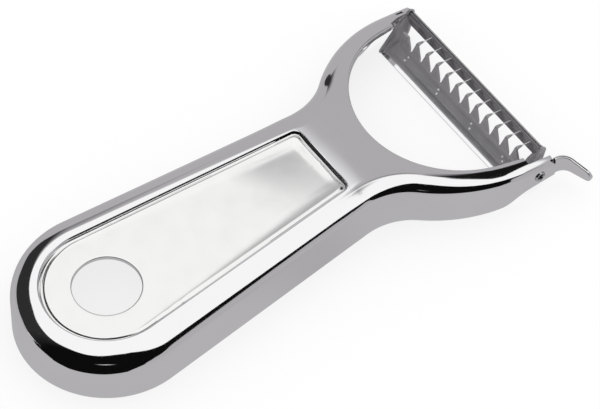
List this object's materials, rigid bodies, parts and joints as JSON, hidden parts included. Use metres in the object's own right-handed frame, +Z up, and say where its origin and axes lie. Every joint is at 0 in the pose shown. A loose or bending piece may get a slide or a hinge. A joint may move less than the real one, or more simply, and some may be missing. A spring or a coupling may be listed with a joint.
{
  "type": "julienne vegetable peeler",
  "caption": "Y-shaped julienne peeler pressed from polished steel sheet: hollow handle with a hang hole, a horn on one arm, and a swivelling unit with a straight blade and a toothed plate.",
  "frame": {"origin": "centre of the hang hole, on the floor of the sunk panel", "axes": "+Y along the handle towards the blade, +X towards the arm with the horn, +Z up out of the panel"},
  "size_m": [0.0613, 0.1255, 0.0128],
  "materials": {
    "polished_frame": "mirror polished sheet steel with a satin panel",
    "carrier_steel": "finely brushed",
    "blade_steel": "finely brushed, ground edge",
    "pin_steel": "plain"
  },
  "bodies": {
    "handle": {"frame": "polished_frame"},
    "blade_unit": {"blade_carrier": "carrier_steel", "slicing_blade": "blade_steel", "julienne_blade": "blade_steel", "pivot_pin_left": "pin_steel", "pivot_pin_right": "pin_steel"}
  },
  "joints": [
    {"name": "blade_swivel", "type": "hinge", "parent": "handle", "child": "blade_unit", "pos_m": [0, 0.0955, -0.00735], "axis": [1, 0, 0], "range_deg": [-40, 30]}
  ]
}
